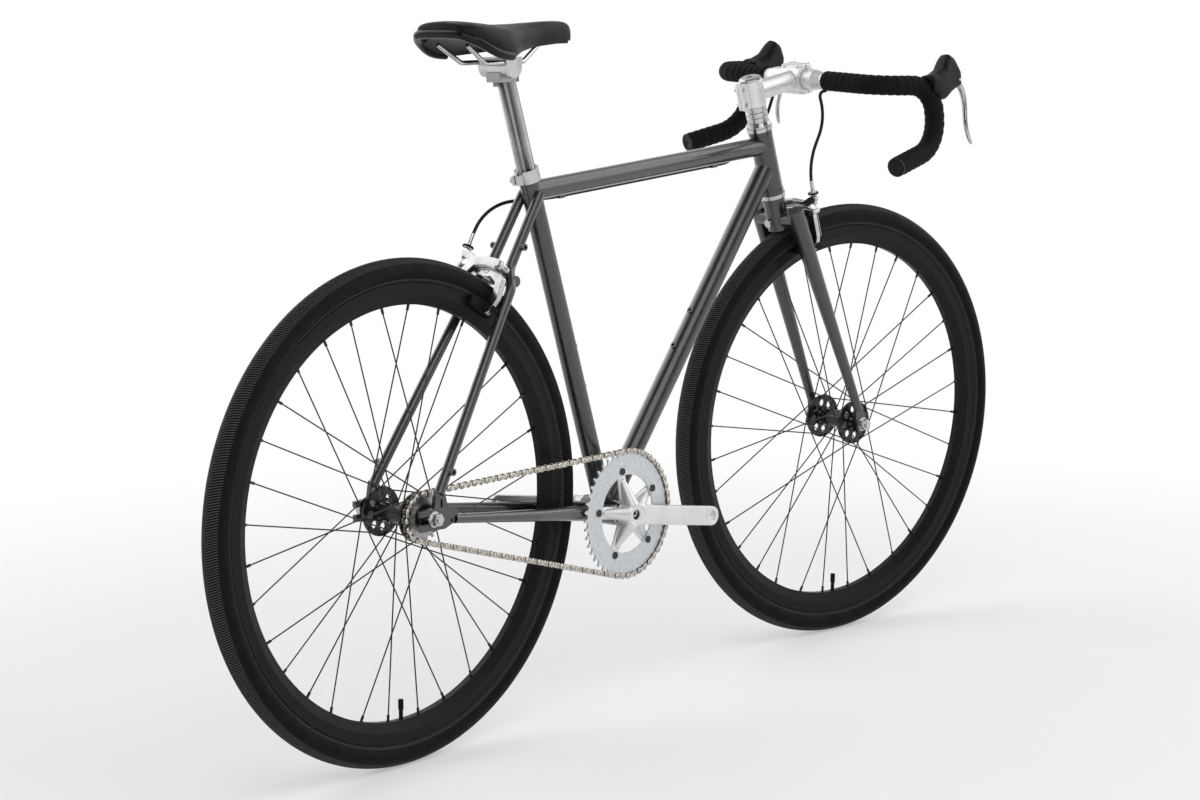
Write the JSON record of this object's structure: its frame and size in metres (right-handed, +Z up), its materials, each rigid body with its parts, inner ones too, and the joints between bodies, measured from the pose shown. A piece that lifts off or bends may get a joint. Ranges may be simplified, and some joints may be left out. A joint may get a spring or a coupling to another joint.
{
  "type": "fixed gear bicycle",
  "caption": "Fixed gear bicycle with drop bars, caliper brakes, high-flange hubs and a diamond steel frame; it steers, rolls, pedals and brakes.",
  "frame": {"origin": "the point where the rear tyre meets the ground", "axes": "+X the way the bicycle rides, +Y its left side, +Z up"},
  "size_m": [1.7049, 0.4877, 1.0164],
  "materials": {
    "frame_paint": "satin metallic grey paint",
    "silver_alloy": "polished and satin silver",
    "plated_steel": "bright plate",
    "chain_steel": "nickel plate",
    "black_alloy": "black anodised",
    "black_steel": "black",
    "tyre": "black rubber",
    "rubber": "matte black",
    "bar_tape": "black wrapped tape",
    "cable_housing": "black sleeve",
    "saddle_cover": "black, slightly glossy",
    "saddle_shell": "black"
  },
  "bodies": {
    "frame": {"head_tube": "frame_paint", "top_tube": "frame_paint", "down_tube": "frame_paint", "seat_tube": "frame_paint", "bottom_bracket_shell": "frame_paint", "chainstays": "frame_paint", "seatstays": "frame_paint", "rear_dropouts": "frame_paint", "frame_fittings": "frame_paint", "headset_cups": "silver_alloy", "bottom_bracket": "plated_steel", "seat_clamp": "silver_alloy", "rear_axle": "plated_steel", "rear_brake_bolt": "plated_steel", "chain": "chain_steel", "rear_brake_cable": "cable_housing"},
    "steering": {"fork_steerer": "plated_steel", "fork_crown": "frame_paint", "fork_blades": "frame_paint", "headset_spacers": "silver_alloy", "stem": "silver_alloy", "stem_faceplate": "silver_alloy", "stem_bolts": "plated_steel", "handlebar": "silver_alloy", "bar_tape": "bar_tape", "brake_hoods": "rubber", "front_axle": "plated_steel", "front_brake_bolt": "plated_steel", "front_brake_cable": "cable_housing"},
    "front_wheel": {"front_hub": "black_alloy", "front_rim": "black_alloy", "front_spokes": "black_steel", "front_tyre": "tyre", "front_inner_tube": "rubber"},
    "rear_wheel": {"rear_hub": "black_alloy", "rear_rim": "black_alloy", "rear_spokes": "black_steel", "rear_tyre": "tyre", "rear_inner_tube": "rubber", "rear_cog": "chain_steel"},
    "cranks": {"crank_spindle": "plated_steel", "right_crank": "silver_alloy", "left_crank": "silver_alloy", "chainring": "silver_alloy", "crank_bolts": "black_steel"},
    "right_lever": {"right_brake_lever": "silver_alloy"},
    "left_lever": {"left_brake_lever": "silver_alloy"},
    "front_centre_arm": {"front_brake_centre_arm": "silver_alloy", "front_brake_centre_shoe": "rubber"},
    "front_side_arm": {"front_brake_side_arm": "silver_alloy", "front_brake_side_shoe": "rubber"},
    "rear_centre_arm": {"rear_brake_centre_arm": "silver_alloy", "rear_brake_centre_shoe": "rubber"},
    "rear_side_arm": {"rear_brake_side_arm": "silver_alloy", "rear_brake_side_shoe": "rubber"},
    "post": {"seatpost": "silver_alloy"},
    "saddle": {"saddle_clamp": "silver_alloy", "saddle_rails": "plated_steel", "saddle_shell": "saddle_shell", "saddle_cover": "saddle_cover"}
  },
  "joints": [
    {"name": "steering", "type": "hinge", "parent": "frame", "child": "steering", "pos_m": [0.82967, 0, 0.7778], "axis": [-0.2924, 0, 0.9563], "range_deg": [-51.4, 68.6], "deforming": ["rear_brake_cable"]},
    {"name": "front_wheel_spin", "type": "hinge", "parent": "steering", "child": "front_wheel", "pos_m": [1.00652, -0.00668, 0.35085], "axis": [0.1425, 0.9888, 0.0436], "continuous": true},
    {"name": "rear_wheel_spin", "type": "hinge", "parent": "frame", "child": "rear_wheel", "pos_m": [0, 0, 0.351], "axis": [0, 1, 0], "continuous": true, "deforming": ["chain"]},
    {"name": "crank_spin", "type": "hinge", "parent": "frame", "child": "cranks", "pos_m": [0.42945, 0, 0.289], "axis": [0, 1, 0], "continuous": true},
    {"name": "right_lever_squeeze", "type": "hinge", "parent": "steering", "child": "right_lever", "pos_m": [1.00997, -0.22967, 0.90211], "axis": [0.141, 0.9818, -0.1271], "range_deg": [0, 24], "stiffness_Nm_per_rad": 0.8, "springref_deg": -11.46, "deforming": ["front_brake_cable"]},
    {"name": "left_lever_squeeze", "type": "hinge", "parent": "steering", "child": "left_lever", "pos_m": [1.06583, 0.15795, 0.91919], "axis": [0.1399, 0.967, 0.213], "range_deg": [0, 24], "stiffness_Nm_per_rad": 0.8, "springref_deg": -11.46, "deforming": ["rear_brake_cable"]},
    {"name": "front_centre_arm_swing", "type": "hinge", "parent": "steering", "child": "front_centre_arm", "pos_m": [0.87408, -0.00267, 0.69308], "axis": [0.9456, -0.149, 0.2891], "range_deg": [-1.3, 0]},
    {"name": "front_side_arm_swing", "type": "hinge", "parent": "steering", "child": "front_side_arm", "pos_m": [0.87487, 0.01909, 0.70169], "axis": [0.9456, -0.149, 0.2891], "range_deg": [0, 1.18]},
    {"name": "rear_centre_arm_swing", "type": "hinge", "parent": "frame", "child": "rear_centre_arm", "pos_m": [0.20018, 0, 0.65751], "axis": [-0.8251, 0, 0.565], "range_deg": [-1.3, 0]},
    {"name": "rear_side_arm_swing", "type": "hinge", "parent": "frame", "child": "rear_side_arm", "pos_m": [0.2047, -0.022, 0.66411], "axis": [-0.8251, 0, 0.565], "range_deg": [0, 1.18]},
    {"name": "seatpost_height", "type": "slide", "parent": "frame", "child": "post", "axis": [-0.2924, 0, 0.9563], "range_m": [-0.1, 0.06]},
    {"name": "saddle_tilt", "type": "hinge", "parent": "post", "child": "saddle", "pos_m": [0.22204, 0, 0.95098], "axis": [0, 1, 0], "range_deg": [-10, 10]}
  ],
  "couplings": [
    {"joint": "crank_spin", "follows": "rear_wheel_spin", "ratio": 0.34783},
    {"joint": "front_centre_arm_swing", "follows": "right_lever_squeeze", "ratio": -0.05},
    {"joint": "front_side_arm_swing", "follows": "right_lever_squeeze", "ratio": 0.045},
    {"joint": "rear_centre_arm_swing", "follows": "left_lever_squeeze", "ratio": -0.05},
    {"joint": "rear_side_arm_swing", "follows": "left_lever_squeeze", "ratio": 0.045}
  ]
}
